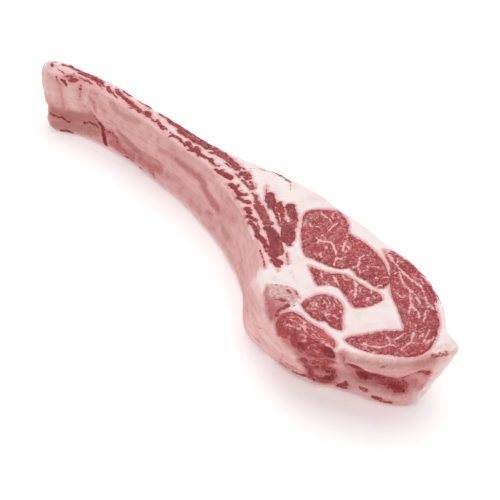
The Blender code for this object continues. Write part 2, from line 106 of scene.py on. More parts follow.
# Marks of the real steak, laid on the camera's picture. Each line is its half width in mm, its
# strength, and the places that it passes: across, down, across, down and so on.
marks = {
    "meat": (
        # along the far edge of the rib's tip
        (0.9, 1, 62, 64, 70, 66), (1.3, 1, 70, 66, 78, 70), (1.8, 1, 80, 72, 90, 76, 98, 80, 102, 82),
        (0.9, 1, 100, 82, 104, 86), (0.7, 1, 94, 80, 99, 84, 103, 89),
        # the beads on the rib's upper edge
        (1.5, 1, 108, 87, 111, 92), (0.8, 1, 113, 93, 117, 97), (0.7, 1, 115, 89, 118, 89),
        (1.6, 1, 117, 91, 124, 97, 131, 103), (1.9, 1, 131, 103, 136, 107, 140, 111),
        (0.8, 1, 128, 107, 133, 108), (0.7, 1, 141, 111, 145, 116), (1.9, 1, 146, 112, 149, 116),
        (0.9, 1, 150, 113, 152, 119, 155, 121), (1.5, 1, 157, 120, 160, 124, 163, 128),
        (0.9, 1, 163, 126, 167, 129), (0.6, 1, 163, 130, 165, 133),
        (1.2, 1, 169, 136, 172, 135, 178, 137, 182, 141), (0.8, 1, 170, 132, 172, 134),
        (1.1, 1, 182, 141, 186, 145), (1.6, 1, 188, 142, 190, 146, 193, 150), (0.7, 1, 187, 149, 190, 150),
        (1.7, 1, 196, 147, 198, 151, 199, 154), (0.9, 1, 199, 148, 201, 150), (0.6, 1, 196, 155, 200, 158),
        (1.4, 1, 201, 154, 206, 157, 212, 159), (1.2, 1, 210, 160, 214, 164), (1.2, 1, 215, 165, 219, 165),
        (1.5, 1, 216, 169, 220, 172, 222, 170), (2.2, 1, 225, 174, 230, 177), (1.9, 1, 231, 184, 235, 188),
        (1.2, 1, 236, 186, 238, 185), (1.6, 1, 236, 191, 240, 194, 245, 194), (0.6, 1, 240, 190, 242, 190),
        (1.5, 1, 238, 197, 244, 201, 249, 202), (2.0, 1, 247, 208, 250, 212),
        (1.5, 1, 247, 215, 251, 217, 256, 220), (1.6, 1, 250, 221, 254, 226, 257, 231),
        (0.8, 1, 257, 222, 260, 229), (1.8, 1, 257, 234, 260, 237, 264, 240),
        (1.6, 1, 263, 240, 266, 246, 268, 250), (0.8, 1, 260, 250, 263, 258, 265, 267),
        # the band behind the rib
        (1.1, 1, 124, 91, 131, 95, 140, 100), (0.8, 1, 140, 101, 150, 108), (1.0, 1, 160, 114, 170, 120),
        (1.7, 1, 170, 121, 180, 127, 190, 133), (1.9, 1, 180, 130, 190, 137, 200, 143),
        (1.6, 1, 190, 132, 200, 138, 210, 145), (1.7, 1, 200, 143, 207, 147, 216, 149),
        (1.1, 1, 210, 152, 217, 153), (2.5, 1, 217, 152, 223, 155, 230, 160),
        (2.2, 1, 229, 160, 236, 165, 238, 168), (0.9, 1, 226, 163, 232, 167), (0.9, 1, 236, 173, 240, 177),
        (0.6, 1, 241, 166, 244, 169), (2.3, 1, 242, 173, 246, 173, 248, 177),
        (1.4, 1, 243, 180, 247, 184, 251, 189), (1.1, 1, 250, 181, 252, 184, 253, 189),
        (0.5, 1, 255, 184, 255, 188), (1.1, 1, 253, 193, 256, 196, 257, 199), (1.6, 1, 256, 201, 259, 203),
        (1.8, 1, 256, 205, 262, 214, 265, 220), (1.5, 1, 261, 206, 266, 214, 268, 219),
        (1.8, 1, 265, 222, 271, 223), (0.9, 1, 270, 220, 270, 226), (2.5, 1, 267, 228, 272, 230, 277, 238),
        (2.1, 1, 269, 231, 272, 240, 273, 248), (1.8, 1, 276, 235, 279, 244, 281, 250),
        (2.9, 1, 273, 247, 274, 254, 279, 252), (2.5, 1, 274, 260, 279, 262), (1.7, 1, 276, 262, 278, 265),
        (0.5, 1, 277, 266, 278, 270), (0.8, 1, 286, 252, 288, 263),
        # the wedges beside the eye
        (0.5, 1, 265, 187, 267, 186), (0.8, 1, 266, 189, 266, 194), (2.8, 1, 270, 195, 272, 205),
        (1.2, 1, 273, 206, 275, 211), (1.0, 1, 266, 200, 270, 209), (1.1, 1, 276, 212, 280, 226),
        (1.8, 1, 279, 203, 281, 207, 283, 216, 284, 222), (1.0, 1, 277, 208, 280, 212),
        (3.0, 1, 290, 206, 292, 214), (2.4, 1, 294, 214, 294, 220), (4.0, 1, 288, 226, 288, 238),
        (2.0, 1, 294, 222, 292, 232), (1.6, 1, 287, 240, 289, 244),
        # the cap where it reaches the far rim
        (2.2, 1, 392, 253, 400, 259), (2.6, 1, 404, 262, 412, 269, 417, 274),
        (2.2, 1, 420, 279, 427, 286, 432, 294), (1.8, 1, 430, 290, 434, 300),
        # the bloody side under the corner
        (2.0, 1, 279, 318, 278, 325, 279, 332), (3.4, 1, 283, 320, 284, 332),
        (3.8, 1, 289, 326, 296, 336, 303, 340), (3.0, 1, 292, 342, 299, 346, 305, 347),
        (0.7, 1, 284, 339, 288, 339, 288, 343), (1.2, 1, 298, 351, 301, 353, 306, 351),
        (3.2, 1, 309, 341, 318, 345, 325, 351, 329, 355), (3.2, 1, 310, 353, 317, 357, 327, 357),
        (2.6, 1, 303, 361, 307, 367), (2.6, 1, 307, 366, 310, 370, 311, 377),
        (2.9, 1, 312, 365, 320, 366, 330, 362), (2.2, 1, 328, 370, 332, 372, 333, 376, 330, 380),
        (3.0, 1, 317, 379, 324, 381, 330, 381), (1.2, 1, 310, 377, 316, 379),
        (1.4, 1, 305, 355, 310, 360, 322, 361),
        # the groove in the front side
        (3.6, 1, 353, 367, 360, 371), (3.8, 1, 361, 374, 369, 375, 377, 377), (3.0, 1, 377, 378, 388, 382),
        (3.4, 1, 388, 383, 396, 386, 402, 386), (1.7, 1, 403, 380, 411, 377, 419, 374),
        (2.1, 1, 421, 373, 427, 374), (0.8, 1, 414, 381, 415, 385), (0.9, 1, 420, 389, 425, 386),
        (1.0, 1, 404, 386, 408, 384),
    ),
    "veins": (
        # eye
        (0.7, 1, 321, 212, 324, 215, 329, 218, 331, 221, 334, 225), (0.7, 1, 334, 225, 338, 223),
        (0.6, 1, 333, 226, 330, 229, 328, 232), (0.7, 1, 333, 219, 332, 216, 334, 213, 337, 211),
        (0.7, 1, 338, 217, 339, 218), (0.6, 1, 303, 226, 305, 222, 307, 219), (0.6, 1, 310, 222, 311, 226),
        (0.7, 1, 313, 226, 318, 226, 321, 228, 322, 231),
        (0.7, 1, 301, 241, 306, 240, 311, 237, 314, 235, 316, 237), (0.7, 1, 316, 237, 318, 240, 318, 243),
        (1.1, 1, 320, 240, 326, 241, 331, 242, 334, 246, 336, 252),
        (1.0, 1, 336, 252, 336, 258, 334, 263, 332, 268), (0.7, 1, 337, 257, 342, 259, 344, 257),
        (0.6, 1, 324, 240, 326, 238, 322, 235), (0.9, 1, 326, 246, 327, 248), (0.6, 1, 320, 252, 322, 257),
        (0.6, 1, 318, 256, 314, 253),
        (0.8, 1, 347, 234, 346, 240, 344, 246, 343, 250, 346, 252, 349, 250, 348, 246),
        (0.8, 1, 359, 262, 360, 257, 364, 255, 367, 254, 370, 256), (0.8, 1, 359, 262, 358, 267, 360, 273),
        (0.8, 1, 358, 266, 353, 267), (0.6, 1, 366, 264, 368, 267, 367, 270, 364, 271),
        (0.6, 1, 372, 266, 379, 267), (0.8, 1, 376, 277, 377, 278), (0.9, 1, 384, 277, 388, 277),
        (0.7, 1, 377, 287, 379, 285, 382, 285),
        # lower eye
        (0.8, 1, 321, 271, 321, 278, 324, 281, 329, 284), (0.7, 1, 332, 271, 334, 277, 338, 284, 340, 287),
        (0.7, 1, 341, 272, 344, 277, 347, 280), (1.0, 1, 354, 278, 356, 284, 356, 291, 354, 298),
        (0.6, 1, 360, 286, 360, 292), (0.6, 1, 352, 290, 349, 294), (1.0, 1, 370, 287, 372, 293, 375, 298),
        (0.8, 1, 363, 301, 366, 300, 369, 297),
        # cap
        (0.9, 1, 380, 248, 384, 253, 388, 260, 391, 266),
        (1.0, 1, 386, 252, 391, 258, 396, 264, 399, 268, 403, 272, 408, 277, 414, 281, 420, 285, 424,
         291, 426, 298),
        (1.0, 1, 426, 298, 429, 305),
        (0.8, 1, 399, 268, 401, 277, 404, 285, 410, 289, 415, 294, 418, 300, 421, 306),
        (1.0, 1, 410, 290, 411, 297, 411, 303, 409, 312), (0.7, 1, 411, 303, 414, 308, 418, 311, 419, 317),
        (0.8, 1, 429, 305, 426, 312, 424, 320), (0.7, 1, 430, 305, 434, 309),
        (0.7, 1, 394, 290, 397, 293, 401, 297, 404, 296, 406, 292), (0.6, 1, 395, 282, 399, 285),
        (0.8, 1, 396, 272, 396, 274), (0.8, 1, 416, 325, 414, 330, 413, 336, 411, 342, 406, 345, 401, 349),
        (0.9, 1, 401, 349, 396, 346, 390, 344, 384, 346, 376, 347, 370, 346, 364, 343),
        (0.7, 1, 386, 336, 389, 339, 390, 344), (0.7, 1, 391, 341, 397, 338, 402, 335, 406, 332),
        (0.7, 1, 411, 342, 415, 343, 418, 340, 420, 336, 424, 333), (0.7, 1, 430, 330, 427, 335, 424, 341),
        (0.7, 1, 436, 335, 431, 340), (0.9, 1, 427, 343, 430, 340),
        (0.7, 1, 361, 343, 366, 349, 370, 352, 378, 352), (0.7, 1, 366, 353, 370, 356, 378, 354),
        (0.6, 1, 398, 262, 397, 258), (0.6, 1, 401, 262, 403, 259), (0.7, 1, 414, 277, 420, 279, 424, 284),
        # wedges
        (0.7, 1, 285, 203, 285, 213, 286, 220), (0.6, 1, 280, 224, 283, 222), (0.5, 1, 287, 220, 293, 220),
        # round
        (0.4, 1, 306, 300, 309, 296, 313, 294), (0.4, 1, 312, 299, 316, 297, 320, 300),
        (0.4, 1, 320, 296, 323, 300, 324, 306), (0.4, 1, 327, 297, 330, 301, 330, 306),
        (0.4, 1, 335, 298, 337, 303), (0.5, 1, 322, 311, 326, 316, 330, 321), (0.5, 1, 332, 322, 336, 326),
        (0.4, 1, 308, 308, 312, 311, 316, 315), (0.5, 1, 310, 302, 313, 305),
        (0.5, 1, 314, 300, 318, 304, 322, 304), (0.5, 1, 312, 308, 318, 309), (0.4, 1, 321, 307, 325, 311),
        (0.4, 1, 303, 305, 306, 309), (0.6, 1, 326, 303, 327, 310, 325, 314), (0.5, 1, 334, 303, 335, 308),
        (0.9, 1, 328, 314, 333, 315, 338, 318), (0.6, 1, 312, 302, 315, 303, 317, 307),
        (0.7, 1, 318, 306, 323, 309), (0.6, 1, 341, 310, 341, 318),
        # corner
        (0.65, 1, 290, 317, 295, 316, 300, 318, 304, 321, 306, 324), (0.5, 1, 281, 324, 284, 323),
        (0.65, 1, 290, 319, 292, 321, 296, 321, 299, 323, 304, 327),
        (0.7, 1, 284, 327, 287, 325, 289, 325, 291, 327, 295, 327, 300, 329),
        (0.9, 1, 304, 322, 305, 326, 305, 329, 307, 332), (0.5, 1, 307, 331, 310, 334, 313, 338),
        (0.75, 1, 283, 336, 285, 334, 288, 335, 292, 338, 295, 341, 299, 341, 303, 341, 306, 340),
        (0.65, 1, 300, 335, 304, 334, 306, 336), (0.9, 1, 313, 334, 316, 337, 319, 338),
        (1.1, 1, 322, 338, 324, 342, 328, 346, 333, 348, 337, 349), (0.5, 1, 318, 334, 320, 336),
        (0.5, 1, 311, 328, 314, 331), (0.4, 1, 315, 326, 316, 331),
        (0.6, 1, 308, 348, 311, 345, 314, 345, 315, 347), (0.6, 1, 311, 352, 316, 352, 322, 353),
        (0.9, 1, 311, 362, 316, 361, 321, 362), (0.5, 1, 302, 357, 307, 358), (0.7, 1, 330, 372, 332, 373),
    ),
    "blood": (
        # tip
        (0.8, 0.5, 50, 62, 56, 62), (0.9, 0.9, 52, 64, 53, 66), (0.5, 0.5, 47, 66, 51, 69),
        (0.8, 0.7, 59, 69, 64, 73), (1.8, 0.8, 67, 75, 71, 76), (0.8, 0.8, 56, 77, 57, 79),
        (0.7, 0.9, 60, 79, 63, 81), (1.1, 0.9, 64, 82, 66, 84), (2.0, 1.0, 71, 79, 76, 80),
        (0.6, 0.5, 74, 73, 76, 77), (0.8, 0.8, 79, 77, 84, 80, 86, 81), (0.7, 0.7, 80, 85, 82, 86),
        (0.8, 1.0, 79, 89, 81, 89), (0.6, 0.5, 80, 91, 80, 97), (0.8, 0.8, 87, 80, 92, 84),
        (0.6, 0.7, 90, 78, 94, 81), (0.6, 0.35, 57, 80, 60, 86), (0.7, 0.4, 57, 97, 59, 101),
        (0.8, 0.9, 50, 113, 56, 116, 62, 118, 66, 121, 70, 122),
        (1.0, 0.8, 84, 123, 90, 123, 95, 125, 98, 127), (0.6, 0.5, 82, 103, 86, 109, 88, 112),
        (0.6, 0.35, 88, 112, 95, 112, 98, 115), (0.8, 0.8, 91, 112, 95, 118, 98, 124),
        (1.8, 1.1, 100, 124, 103, 129), (1.5, 1.1, 103, 133, 104, 137, 106, 144),
        (0.4, 0.5, 103, 129, 103, 134), (1.3, 0.6, 109, 132, 113, 134, 116, 138, 117, 142),
        (0.8, 0.3, 70, 122, 84, 123), (1.0, 1.0, 51, 127, 54, 130, 60, 131, 66, 131, 70, 132, 72, 133),
        (0.8, 0.5, 88, 138, 98, 144),
        # foot of the rib
        (0.9, 1.1, 125, 157, 128, 158, 131, 161), (0.8, 0.8, 140, 168, 146, 173),
        (0.8, 0.8, 161, 186, 164, 189), (1.6, 0.45, 204, 190, 208, 196, 213, 203, 216, 207),
        (0.5, 0.5, 209, 213, 213, 214), (0.7, 0.45, 152, 168, 154, 175), (0.8, 0.4, 122, 148, 127, 153),
        # fat
        (0.6, 0.35, 250, 168, 258, 168), (0.6, 0.5, 258, 168, 266, 171, 272, 171, 280, 175),
        (0.8, 0.7, 280, 175, 285, 178, 290, 182), (0.6, 0.4, 290, 182, 291, 190),
        (0.9, 0.25, 292, 270, 294, 279),
        # joint
        (0.5, 0.5, 271, 284, 278, 285), (0.7, 0.35, 267, 287, 266, 293, 267, 299),
        (0.7, 0.6, 268, 301, 269, 304), (0.8, 0.5, 267, 304, 269, 310, 271, 317),
        (1.2, 0.9, 288, 305, 282, 309), (1.3, 0.8, 280, 310, 276, 315), (0.9, 0.8, 280, 299, 285, 301),
        (0.5, 0.6, 275, 299, 279, 300), (0.5, 0.7, 285, 301, 289, 302), (0.5, 0.5, 291, 299, 293, 301),
        (1.0, 0.8, 288, 290, 291, 293), (0.5, 0.6, 288, 296, 289, 297), (0.6, 0.8, 296, 291, 297, 294),
        (0.5, 0.5, 299, 295, 300, 299), (0.4, 0.5, 297, 301, 298, 303), (0.4, 0.6, 291, 307, 295, 305),
        (0.5, 0.5, 270, 306, 276, 306), (0.4, 0.5, 272, 296, 275, 298), (0.4, 0.5, 281, 289, 284, 291),
        (0.5, 0.5, 272, 308, 275, 311), (0.4, 0.5, 273, 289, 275, 293), (0.4, 0.5, 279, 293, 281, 296),
        (0.4, 0.6, 284, 296, 286, 298), (0.4, 0.5, 293, 295, 294, 298),
        # chine side
        (0.5, 0.5, 256, 325, 258, 328, 262, 329), (1.2, 0.3, 245, 308, 248, 312),
        (1.4, 0.4, 256, 339, 259, 342), (1.0, 0.6, 280, 362, 285, 366, 292, 370),
        (1.3, 0.4, 286, 363, 291, 367, 295, 369), (1.1, 0.9, 293, 372, 300, 375, 306, 377, 313, 380),
        (0.8, 0.35, 282, 354, 281, 360), (1.2, 1.0, 319, 381, 323, 382, 328, 383),
        (0.6, 0.4, 298, 358, 299, 360),
        # front side
        (0.9, 0.6, 381, 366, 386, 366), (1.2, 0.55, 432, 356, 438, 355, 441, 353),
        (1.8, 0.55, 442, 354, 446, 353), (1.5, 1.1, 338, 386, 343, 385, 346, 384),
        (0.9, 1.0, 341, 388, 347, 388), (1.4, 0.8, 361, 388, 366, 390), (1.8, 0.9, 374, 397, 379, 399),
        (1.1, 0.8, 380, 401, 391, 403), (0.9, 0.5, 344, 358, 346, 367),
    ),
    "dark": (
        (2.6, 0.7, 270, 195, 272, 205), (1.6, 0.6, 274, 206, 278, 222),
        (1.8, 0.6, 279, 203, 283, 216, 284, 222), (3.2, 0.75, 288, 227, 288, 240),
        (2.4, 0.65, 290, 207, 293, 218), (1.6, 0.8, 267, 228, 272, 232, 276, 244),
        (1.8, 0.7, 272, 242, 276, 256, 278, 262), (1.6, 0.8, 300, 344, 303, 349),
        (2.8, 0.9, 327, 351, 329, 357), (1.6, 0.6, 296, 345, 300, 347), (1.6, 0.7, 304, 362, 307, 367),
        (1.6, 0.8, 328, 372, 329, 378), (1.8, 1.0, 319, 380, 328, 382), (2.2, 0.5, 293, 331, 297, 336),
        # The last stroke on this line and all on the next run along the groove: darker meat with painted
        # shade of the recess.
        (1.6, 0.5, 311, 354, 315, 358), (1.4, 0.8, 310, 371, 311, 376), (1.8, 0.8, 355, 367, 357, 370),
        (2.4, 0.9, 361, 375, 372, 376), (2.2, 0.6, 376, 378, 400, 388), (1.2, 0.7, 404, 380, 418, 375),
        (1.4, 0.5, 108, 87, 111, 92, 124, 98, 140, 111), (1.3, 0.5, 146, 112, 163, 128),
        (1.4, 0.5, 171, 136, 193, 150), (1.4, 0.6, 197, 150, 214, 164), (1.6, 0.8, 217, 169, 232, 178),
        (1.6, 0.7, 232, 185, 250, 204), (1.5, 0.7, 248, 210, 266, 246), (1.4, 0.3, 80, 72, 102, 82),
    ),
    "flush": (
        # under the corner, and the front side
        (5.0, 0.65, 292, 342, 308, 354, 322, 366, 328, 374), (2.5, 0.6, 284, 336, 292, 346),
        (3.5, 0.8, 300, 352, 316, 361, 332, 361), (3.0, 0.7, 343, 354, 347, 366),
        (4.5, 0.7, 352, 370, 375, 378, 400, 384), (3.0, 0.6, 400, 382, 425, 372),
        (3.5, 0.6, 418, 366, 432, 360), (1.8, 0.6, 378, 400, 391, 403), (2.5, 0.6, 338, 386, 347, 387),
        (2.5, 0.4, 420, 385, 426, 380), (2.5, 0.5, 280, 362, 296, 370, 312, 379),
        # tip
        (2.5, 0.6, 66, 76, 76, 79, 84, 80), (1.2, 0.5, 57, 79, 60, 87, 62, 98, 64, 108),
        (1.6, 0.6, 90, 98, 94, 103, 95, 110), (1.8, 0.4, 92, 91, 97, 94), (1.4, 0.35, 79, 88, 80, 100),
        (2.0, 0.6, 52, 111, 58, 114), (1.6, 0.4, 48, 63, 56, 66), (2.0, 0.4, 84, 80, 100, 88),
        # rib side
        (2.4, 0.9, 107, 132, 113, 135, 118, 143), (2.6, 0.85, 112, 142, 119, 148, 127, 154, 133, 158),
        (2.4, 0.75, 140, 160, 148, 165, 155, 168, 160, 170), (1.5, 0.8, 150, 169, 154, 177),
        (1.8, 0.4, 164, 172, 168, 177), (2.0, 0.55, 160, 151, 168, 154, 176, 160),
        (2.2, 0.8, 176, 160, 183, 166, 190, 172, 198, 178, 204, 185),
        (2.6, 1.0, 203, 188, 208, 196, 213, 203, 218, 209), (1.3, 1.0, 205, 191, 210, 198, 215, 206),
        (3.5, 0.5, 216, 206, 224, 213, 234, 221), (1.8, 0.35, 190, 199, 196, 206, 201, 213),
        (1.3, 0.5, 206, 211, 212, 215), (1.5, 0.35, 212, 219, 218, 224),
        # joint
        (3.0, 1.0, 270, 304, 273, 315, 281, 308), (1.4, 0.7, 267, 285, 266, 293, 267, 300),
        (1.6, 0.6, 273, 299, 283, 301), (1.6, 0.5, 294, 290, 300, 298), (3.5, 0.25, 250, 300, 256, 330),
        (1.8, 0.4, 257, 333, 264, 342), (1.4, 0.4, 246, 306, 248, 313),
    ),
    "rosy": (
        # fat along the rib's upper edge, thinner towards the eye
        (4.0, 0.7, 50, 67, 62, 71, 76, 76, 90, 83, 104, 91),
        (3.0, 0.8, 104, 92, 120, 102, 140, 115, 160, 130, 170, 139),
        (2.2, 0.8, 170, 139, 180, 147, 190, 154, 200, 161, 212, 169),
        (1.6, 0.7, 212, 169, 222, 177, 230, 187, 237, 199),
        (1.3, 0.6, 237, 199, 243, 210, 250, 222, 256, 234, 260, 246),
        (5.0, 0.9, 257, 264, 251, 278, 245, 300, 243, 318),
        (3.0, 0.5, 102, 85, 118, 92, 136, 104, 150, 113),
        (2.2, 0.35, 150, 113, 175, 128, 200, 147, 220, 160, 236, 174),
        # top of the side under the cap
        (3.0, 0.85, 343, 354, 360, 359, 375, 362, 395, 364, 415, 362, 430, 357),
        (2.4, 0.5, 420, 352, 436, 348, 446, 346),
    ),
    "bone": (
        (7.0, 0.95, 275, 292, 286, 299), (3.5, 0.8, 270, 288, 271, 304), (3.0, 0.7, 292, 300, 296, 297),
    ),
    "ridges": (
        (3.0, 0.9, 360, 362, 395, 366, 425, 362), (4.0, 0.8, 360, 388, 400, 396),
        (2.5, 0.7, 118, 150, 160, 178, 200, 215), (3.0, 0.6, 75, 100, 78, 110),
        (2.0, 0.6, 335, 360, 338, 376),
    ),
    "dents": (
        (3.0, 1.5, 352, 370, 375, 377, 400, 384, 420, 376), (1.8, 1.6, 331, 372, 333, 384),
        (0.9, 0.5, 256, 325, 262, 329), (1.1, 0.9, 100, 124, 106, 144), (0.8, 0.5, 82, 103, 97, 120),
        (0.9, 0.5, 50, 113, 64, 121, 98, 126), (2.0, 0.6, 112, 130, 150, 158, 190, 182, 215, 206),
        (2.5, 0.7, 300, 352, 320, 368),
    ),
    # tan marks: mostly painted shade where the rib's lower band and the front side turn down from the light,
    # along shadow lines and creases; partly the skin's own brownish tone
    "tanAndShade": (
        (4.6, 1.0, 53, 112, 65, 115, 80, 117, 92, 119), (4.6, 0.75, 55, 125, 75, 127, 96, 131),
        (2.3, 0.5, 111, 104, 118, 112, 128, 118, 138, 122),
        (2.4, 0.8, 118, 132, 125, 140, 133, 148, 140, 153),
        (2.4, 0.6, 140, 153, 148, 157, 155, 161, 161, 165), (1.3, 0.4, 100, 121, 110, 124, 120, 131),
        (3.0, 0.35, 172, 152, 190, 165, 203, 182), (3.0, 0.4, 221, 221, 224, 230, 227, 237),
        (2.5, 0.35, 168, 174, 178, 180, 184, 186), (2.2, 0.3, 190, 192, 198, 200),
        (7.0, 0.45, 365, 366, 395, 371, 422, 368), (1.6, 0.5, 350, 361, 372, 366),
        (1.4, 0.4, 392, 366, 404, 369), (9.0, 0.45, 342, 380, 370, 390, 405, 396),
        (3.0, 0.2, 256, 337, 275, 352, 290, 362), (2.4, 0.8, 308, 349, 313, 345),
        (2.4, 0.6, 300, 356, 307, 358), (3.4, 0.8, 314, 373, 323, 371), (1.8, 0.7, 310, 352, 322, 353),
    ),
    "pale": (
        (4.6, 0.5, 70, 91, 74, 105), (3.0, 0.6, 44, 74, 46, 92), (2.6, 0.4, 50, 84, 53, 98),
        (3.0, 0.5, 46, 69, 60, 72), (1.6, 0.6, 312, 362, 322, 362), (1.2, 0.8, 297, 369, 300, 370),
        (1.5, 0.5, 316, 372, 321, 371), (1.4, 0.5, 84, 104, 86, 100, 88, 92),
        (1.6, 0.35, 100, 96, 108, 104), (2.6, 0.6, 268, 338, 278, 350), (2.2, 0.5, 284, 352, 292, 358),
        (1.8, 0.5, 250, 318, 254, 330), (1.6, 0.4, 262, 305, 264, 316),
        (1.8, 0.3, 182, 158, 200, 172, 214, 190),
    ),
}

# The skin over all the solids
mergeWithin = 0.02 * mm
skinRecipe = {
    "closeGaps": 0.3 * mm,   # each solid swells by this, so that the hairlines between them close
    "cell": 0.86 * mm,
    "softening": 6,
    "smoothing": 0.5,        # share of each point's way to its neighbours' middle
    "settle": 0.3,           # mm taken back after the swelling
    "flatUnder": 0.25 * mm,  # points this near to the lowest are thinned out
    "keptFaces": 0.76,       # share of the faces that the thinning leaves
    "waves": (0.4, 0.3, 2.5),  # mm: depth, height and size of the waves that keep the rest evenly spread
    "roundUnder": 7.0 * mm,  # below this height the lower edge is made rounder
    "roundings": 40,
}


def solidShape(node):
    shape = bmesh.new()
    shape.from_mesh(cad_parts[node].data)
    bmesh.ops.remove_doubles(shape, verts=shape.verts, dist=mergeWithin)
    bmesh.ops.recalc_face_normals(shape, faces=shape.faces)
    return shape


def makeObject(shape, name):
    mesh = bpy.data.meshes.new(name)
    shape.to_mesh(mesh)
    shape.free()
    made = bpy.data.objects.new(name, mesh)
    bpy.context.scene.collection.objects.link(made)
    return made


def applyModifier(made, kind, settings):
    modifier = made.modifiers.new(kind, kind)
    for name, value in settings.items():
        setattr(modifier, name, value)
    changed = made.evaluated_get(bpy.context.evaluated_depsgraph_get())
    mesh = bpy.data.meshes.new_from_object(changed)
    old = made.data
    made.modifiers.clear()
    made.data = mesh
    bpy.data.meshes.remove(old)


def dropObject(made):
    mesh = made.data
    bpy.data.objects.remove(made)
    bpy.data.meshes.remove(mesh)


def keepOuterShell(shape):
    # the shell that holds the highest point is the steak's own; bubbles inside it go
    start = max(shape.verts, key=lambda v: v.co.z)
    reached = {start}
    waiting = [start]
    while waiting:
        here = waiting.pop()
        for edge in here.link_edges:
            other = edge.other_vert(here)
            if other not in reached:
                reached.add(other)
                waiting.append(other)
    bubbles = [v for v in shape.verts if v not in reached]
    bmesh.ops.delete(shape, geom=bubbles, context="VERTS")
    return len(bubbles)


def makeSkin(recipe):
    joined = bmesh.new()
    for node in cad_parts:
        shape = solidShape(node)
        shape.normal_update()
        for v in shape.verts:
            v.co += v.normal * recipe["closeGaps"]
        mesh = bpy.data.meshes.new("swollen")
        shape.to_mesh(mesh)
        shape.free()
        joined.from_mesh(mesh)
        bpy.data.meshes.remove(mesh)
    skin = makeObject(joined, "skin")
    applyModifier(skin, "REMESH", {"mode": "VOXEL", "voxel_size": recipe["cell"]})
    shape = bmesh.new()
    shape.from_mesh(skin.data)
    bubbles = keepOuterShell(shape)
    low = [v for v in shape.verts if v.co.z < recipe["roundUnder"]]
    everyWay = {"use_axis_x": True, "use_axis_y": True, "use_axis_z": True}
    for verts in [shape.verts] * recipe["softening"] + [low] * recipe["roundings"]:
        bmesh.ops.smooth_vert(shape, verts=verts, factor=recipe["smoothing"], **everyWay)
    bmesh.ops.recalc_face_normals(shape, faces=shape.faces)
    lowest = min(v.co.z for v in shape.verts)
    depth, height, size = recipe["waves"]
    under = []
    for v in shape.verts:
        if v.co.z < lowest + recipe["flatUnder"]:
            under.append(v.index)
            v.co.z = lowest - (depth + height * noise.noise(v.co / (size * mm))) * mm
    shape.to_mesh(skin.data)
    print("skin:", len(shape.verts), "points,", bubbles, "dropped")
    shape.free()
    skin.vertex_groups.new(name="under").add(under, 1.0, "REPLACE")
    applyModifier(skin, "DECIMATE", {"ratio": recipe["keptFaces"], "vertex_group": "under"})
    skin.vertex_groups.clear()
    for v in skin.data.vertices:
        v.co.z = max(v.co.z, lowest)
    print("skin thinned to", len(skin.data.vertices))
    return skin


skin = makeSkin(skinRecipe)
cleanSkin = bmesh.new()
cleanSkin.from_mesh(skin.data)
skinTree = BVHTree.FromBMesh(cleanSkin)
cleanSkin.free()


def treeOf(nodes):
    joined = bmesh.new()
    for node in nodes:
        joined.from_mesh(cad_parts[node].data)
    tree = BVHTree.FromBMesh(joined)
    joined.free()
    return tree


# Meat whose shape on the upper face comes from the marks
drawnNodes = ("upper_rib_muscle", "outer_rib_muscle", "wedge_muscle", "small_wedge_muscle")
drawnAbove = 25 * mm
leanNodes = [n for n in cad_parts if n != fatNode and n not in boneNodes]
otherNodes = [fatNode, *boneNodes]
lowTrees = treeOf(leanNodes), treeOf(otherNodes)
highTrees = treeOf([n for n in leanNodes if n not in drawnNodes]), treeOf([*otherNodes, *drawnNodes])


def solidDepth(place):
    # mm into the meat of the solids, less than nothing outside it
    lean, other = highTrees if place.z > drawnAbove else lowTrees
    return (other.find_nearest(place)[3] - lean.find_nearest(place)[3]) / mm


# Where the marks lie on the skin
def onSkin(across, down):
    return skinTree.ray_cast(camera.location, towards(camera, cameraView, across, down))[0]


# How much wider than it is written a mark of each kind is laid
spread = {
    "meat": 1.4, "veins": 0.8, "blood": 1.35, "dark": 1.5, "flush": 1.4, "rosy": 1.2, "tanAndShade": 1.2, "pale": 1.1,
}
# Where a mark of each kind ends and where its full strength begins, in half widths
falloff = {"flush": (2.3, 0.0), "tanAndShade": (2.0, 0.3), "rosy": (2.0, 0.3), "pale": (2.0, 0.2)}
plainFalloff = (1.7, 0.4)
# Distance between a mark's dots: the least in mm, and its share of the half width
dotSpacing = {"least": 0.5, "share": 0.4}
# How far from a place marks are looked for, in mm
markReach = {"edge": 8.0, "strength": 15.0}
# Stir of the marks' outlines: size of its waves and how far they move a place, in mm
markStir = {"size": 4.5, "amount": 0.9, "fineSize": 1.7, "fineAmount": 0.5}


def layMarks(kind, strokes):
    dots = []
    for width, strength, *flat in strokes:
        halfWidth = width * spread.get(kind, 1.0)
        path = [p for p in map(onSkin, flat[::2], flat[1::2]) if p is not None]
        for start, end in zip(path, path[1:]):
            spacing = max(dotSpacing["least"], halfWidth * dotSpacing["share"]) * mm
            steps = max(1, math.ceil((end - start).length / spacing))
            dots += [(start.lerp(end, k / steps), halfWidth, strength) for k in range(steps + 1)]
    tree = KDTree(len(dots))
    for i, dot in enumerate(dots):
        tree.insert(dot[0], i)
    tree.balance()
    return tree, dots


laid = {kind: layMarks(kind, strokes) for kind, strokes in marks.items()}
print("marks laid:", {kind: len(dots) for kind, (_, dots) in laid.items()})


def stirred(place):
    wide = noise.noise_vector(place / (markStir["size"] * mm)) * markStir["amount"]
    fine = noise.noise_vector(place / (markStir["fineSize"] * mm)) * markStir["fineAmount"]
    return place + (wide + fine) * mm


def softStep(value, low, high):
    share = min(max((value - low) / (high - low), 0.0), 1.0)
    return share * share * (3.0 - 2.0 * share)


def inside(kind, place):
    # mm inside the nearest mark's edge, down to less than nothing at the reach
    tree, dots = laid[kind]
    reach = markReach["edge"]
    found = tree.find_range(stirred(place), reach * mm)
    return max((dots[i][1] - away / mm for _, i, away in found), default=-reach)


